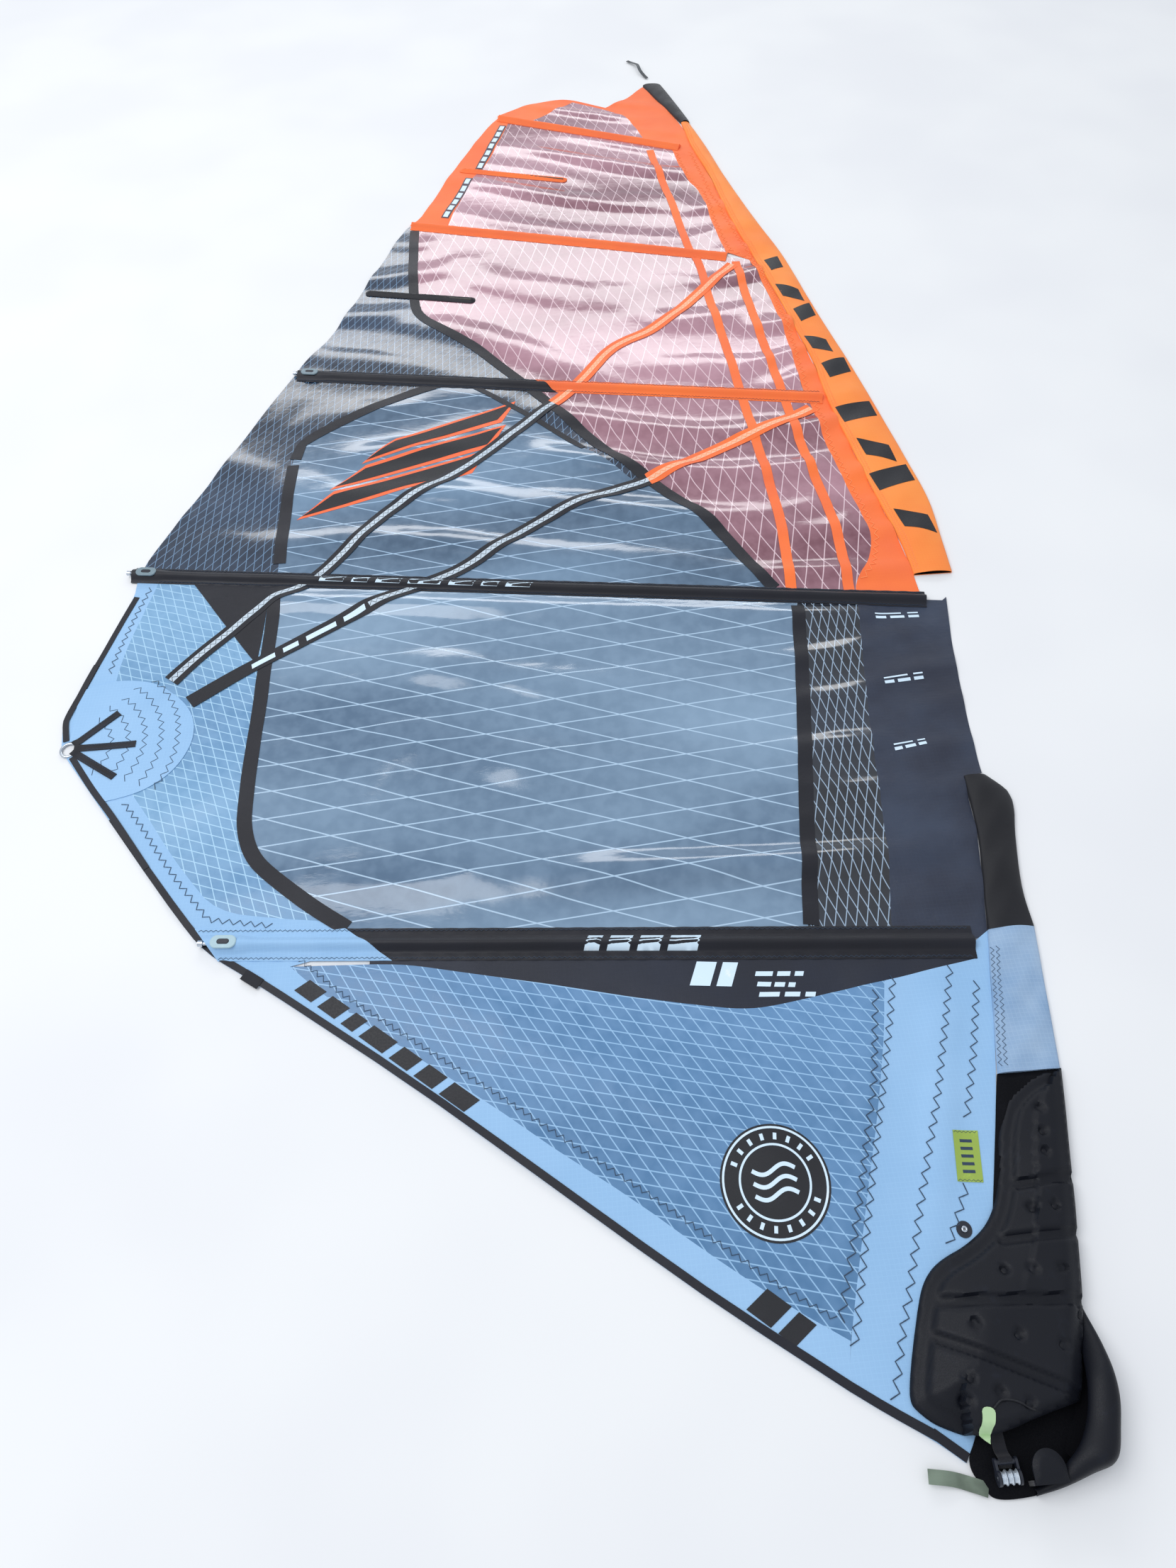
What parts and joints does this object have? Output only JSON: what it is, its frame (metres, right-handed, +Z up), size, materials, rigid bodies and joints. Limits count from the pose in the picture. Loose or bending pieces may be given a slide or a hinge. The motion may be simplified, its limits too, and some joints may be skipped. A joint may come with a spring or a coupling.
{
  "type": "windsurf sail",
  "caption": "Wave windsurf sail laid out flat: film and cloth panels, battens, mast sleeve, clew ring, tack pad and tack pulley.",
  "frame": {"origin": "on the underside, straight below the axle of the tack pulley", "axes": "+X from the leech to the luff, +Y from the tack to the head, +Z up off the ground"},
  "size_m": [1.747, 3.9671, 0.048],
  "materials": {
    "clear_window_film": "glossy clear film with a reinforcing grid",
    "dark_mesh_film": "glossy dark film with pale diamond yarns",
    "black_laminate": "satin black laminate",
    "blue_grid_film": "satin blue grid film",
    "navy_grid_film": "glossy navy grid film",
    "pink_grid_film": "glossy tinted grid film",
    "orange_cloth": "matte orange sailcloth",
    "white_cloth": "matte white sailcloth",
    "black_cloth": "matte black sailcloth",
    "webbing": "woven webbing",
    "stainless_steel": "satin stainless steel",
    "batten_composite": "wound fibre rod",
    "moulded_plastic": "moulded plastic",
    "sheave_metal": "bright turned metal",
    "pad_foam": "moulded foam with a fabric face"
  },
  "bodies": {
    "sail": {"main_window": "clear_window_film", "upper_window": "clear_window_film", "luff_mesh_panel": "dark_mesh_film", "luff_laminate": "black_laminate", "clew_film": "blue_grid_film", "leech_film": "navy_grid_film", "pink_film_low": "pink_grid_film", "pink_film_mid": "pink_grid_film", "pink_film_top": "pink_grid_film", "head_film": "pink_grid_film", "head_panel": "orange_cloth", "luff_panel_upper": "orange_cloth", "leech_band_upper": "orange_cloth", "clew_leech_band": "white_cloth", "foot_band": "white_cloth", "foot_film": "blue_grid_film", "luff_panel_lower": "white_cloth", "boom_skirt": "black_laminate", "black_seam_tapes": "black_cloth", "orange_seam_tapes": "orange_cloth", "load_strap_upper": "black_cloth", "load_strap_lower": "black_cloth", "clew_patch": "white_cloth", "clew_webbing": "webbing", "clew_ring": "stainless_steel", "sleeve_upper": "orange_cloth", "sleeve_lower_black": "black_cloth", "sleeve_lower_white": "white_cloth", "head_sleeve": "black_cloth", "head_strap": "webbing", "batten_pocket_1": "black_cloth", "batten_pocket_2": "black_cloth", "batten_pocket_3": "black_cloth", "batten_pocket_4": "orange_cloth", "batten_pocket_5": "orange_cloth", "batten_4": "batten_composite", "batten_5": "batten_composite", "mini_pockets": "black_cloth", "mini_battens": "batten_composite", "tensioner_housings": "moulded_plastic", "edge_binding": "black_cloth", "tack_pad": "pad_foam", "tack_pad_back": "pad_foam", "tack_webbing": "webbing", "luff_eyelet": "stainless_steel"},
    "batten_unit_1": {"batten_1": "batten_composite", "batten_cup_1": "moulded_plastic"},
    "batten_unit_2": {"batten_2": "batten_composite", "batten_cup_2": "moulded_plastic"},
    "batten_unit_3": {"batten_3": "batten_composite", "batten_cup_3": "moulded_plastic"},
    "screw_1": {"tension_screw_1": "stainless_steel"},
    "screw_2": {"tension_screw_2": "stainless_steel"},
    "screw_3": {"tension_screw_3": "stainless_steel"},
    "tack_block": {"pulley_block": "moulded_plastic", "pulley_axle": "stainless_steel"},
    "wheel_1": {"sheave_1": "sheave_metal"},
    "wheel_2": {"sheave_2": "sheave_metal"},
    "wheel_3": {"sheave_3": "sheave_metal"},
    "tongue": {"tack_flap": "pad_foam"}
  },
  "joints": [
    {"name": "screw_1_turn", "type": "hinge", "parent": "sail", "child": "screw_1", "pos_m": [-1.06, 0.76, 0.009], "axis": [0.9969, -0.0793, 0], "range_deg": [-1730, 1730]},
    {"name": "batten_1_tension", "type": "slide", "parent": "sail", "child": "batten_unit_1", "axis": [0.9969, -0.0793, 0], "range_m": [-0.006, 0.006]},
    {"name": "screw_2_turn", "type": "hinge", "parent": "sail", "child": "screw_2", "pos_m": [-1.335, 1.6, 0.009], "axis": [0.9909, -0.1346, 0], "range_deg": [-1730, 1730]},
    {"name": "batten_2_tension", "type": "slide", "parent": "sail", "child": "batten_unit_2", "axis": [0.9909, -0.1346, 0], "range_m": [-0.006, 0.006]},
    {"name": "screw_3_turn", "type": "hinge", "parent": "sail", "child": "screw_3", "pos_m": [-1.058, 2.253, 0.009], "axis": [0.9857, -0.1684, 0], "range_deg": [-1730, 1730]},
    {"name": "batten_3_tension", "type": "slide", "parent": "sail", "child": "batten_unit_3", "axis": [0.9857, -0.1684, 0], "range_m": [-0.006, 0.006]},
    {"name": "tack_block_swing", "type": "hinge", "parent": "sail", "child": "tack_block", "pos_m": [0, 0.015, 0.018], "axis": [1, 0, 0], "range_deg": [-70, 4]},
    {"name": "wheel_1_spin", "type": "hinge", "parent": "tack_block", "child": "wheel_1", "pos_m": [-0.007, 0, 0.018], "axis": [1, 0, 0], "continuous": true},
    {"name": "wheel_2_spin", "type": "hinge", "parent": "tack_block", "child": "wheel_2", "pos_m": [0, 0, 0.018], "axis": [1, 0, 0], "continuous": true},
    {"name": "wheel_3_spin", "type": "hinge", "parent": "tack_block", "child": "wheel_3", "pos_m": [0.007, 0, 0.018], "axis": [1, 0, 0], "continuous": true},
    {"name": "tongue_fold", "type": "hinge", "parent": "sail", "child": "tongue", "pos_m": [0.044, -0.01, 0.031], "axis": [1, 0, 0], "range_deg": [0, 130]}
  ],
  "couplings": [
    {"joint": "screw_1_turn", "follows": "batten_1_tension", "rad_per_m": 5026.5},
    {"joint": "screw_2_turn", "follows": "batten_2_tension", "rad_per_m": 5026.5},
    {"joint": "screw_3_turn", "follows": "batten_3_tension", "rad_per_m": 5026.5}
  ]
}
